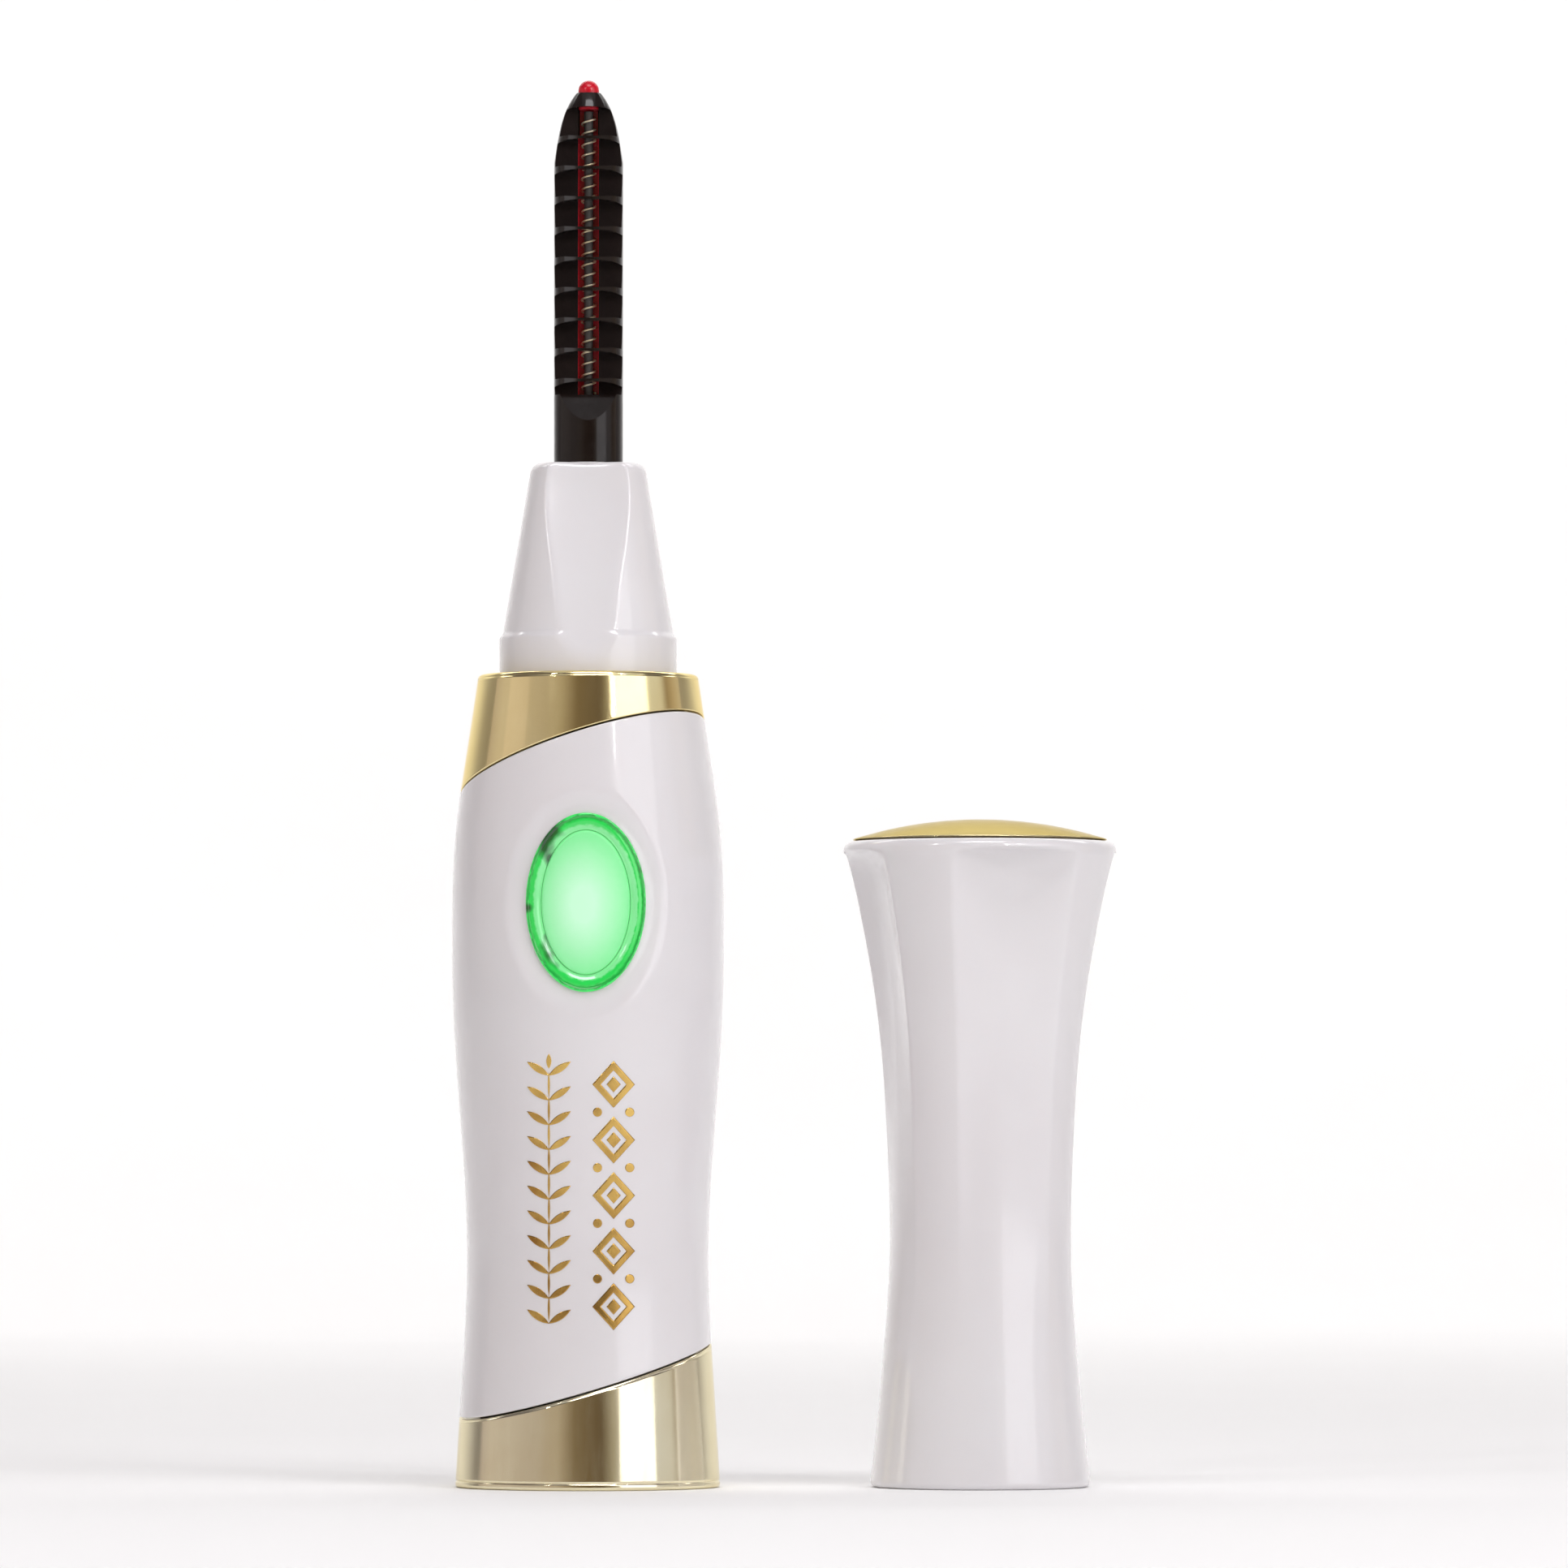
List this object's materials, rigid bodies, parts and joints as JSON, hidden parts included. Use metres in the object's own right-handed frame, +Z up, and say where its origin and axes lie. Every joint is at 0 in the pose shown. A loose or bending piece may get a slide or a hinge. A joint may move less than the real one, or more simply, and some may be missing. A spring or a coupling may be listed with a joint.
{
  "type": "heated eyelash curler",
  "caption": "Battery-heated wand eyelash curler: a finned comb with a heater coil on a waisted handle with a lit push button, and a fluted cap standing beside it.",
  "frame": {"origin": "centre of the flat underside of the handle's base cover", "axes": "+Z up along the handle towards the comb's tip, -Y towards the button, +X towards the standing cap"},
  "size_m": [0.0587, 0.0242, 0.1243],
  "materials": {
    "white_gloss": "glossy moulded",
    "white_inner": "satin moulded",
    "gold_trim": "polished gold plating",
    "comb_black": "satin gloss, heat resistant",
    "red_silicone": "glossy silicone",
    "heater_ceramic": "dull",
    "coil_wire": "bright drawn wire",
    "clear_green": "clear, lit from behind",
    "frosted_green": "frosted, lit from behind",
    "led_green": "lit",
    "spring_steel": "nickel plated",
    "brass_contact": "bright",
    "cell_wrap": "plain shrink sleeve",
    "board_green": "lacquered board",
    "black_plastic": "moulded",
    "lead_rubber": "insulated wire"
  },
  "bodies": {
    "base": {"base_cover": "gold_trim", "base_insert": "white_inner", "negative_contact": "spring_steel", "negative_spring": "spring_steel", "cell_can": "spring_steel", "cell_wrap": "cell_wrap"},
    "handle": {"barrel_shell": "white_gloss", "collar_ring": "gold_trim", "neck_cone": "white_gloss", "button_ring": "clear_green", "inner_frame": "white_inner", "positive_contact": "brass_contact", "negative_strip": "brass_contact", "circuit_board": "board_green", "board_screws": "spring_steel", "switch_body": "black_plastic", "green_leds": "led_green", "controller_chip": "black_plastic", "board_resistors": "black_plastic", "comb_sleeve": "comb_black", "heater_carrier": "red_silicone", "heater_core": "heater_ceramic", "heater_wire": "coil_wire", "heater_leads": "lead_rubber"},
    "button": {"button_pad": "frosted_green", "switch_plunger": "black_plastic"},
    "cap": {"cap_shell": "white_gloss", "cap_liner": "white_inner", "cap_dome": "gold_trim"}
  },
  "joints": [
    {"name": "handle_pull", "type": "slide", "parent": "base", "child": "handle", "axis": [0, 0, 1], "range_m": [0, 0.05]},
    {"name": "button_press", "type": "slide", "parent": "handle", "child": "button", "axis": [0, 1, 0], "range_m": [0, 0.0004], "stiffness_N_per_m": 400, "springref_m": -0.0015},
    {"name": "cap_lift", "type": "slide", "parent": "base", "child": "cap", "axis": [0, 0, 1], "range_m": [0, 0.126]}
  ]
}
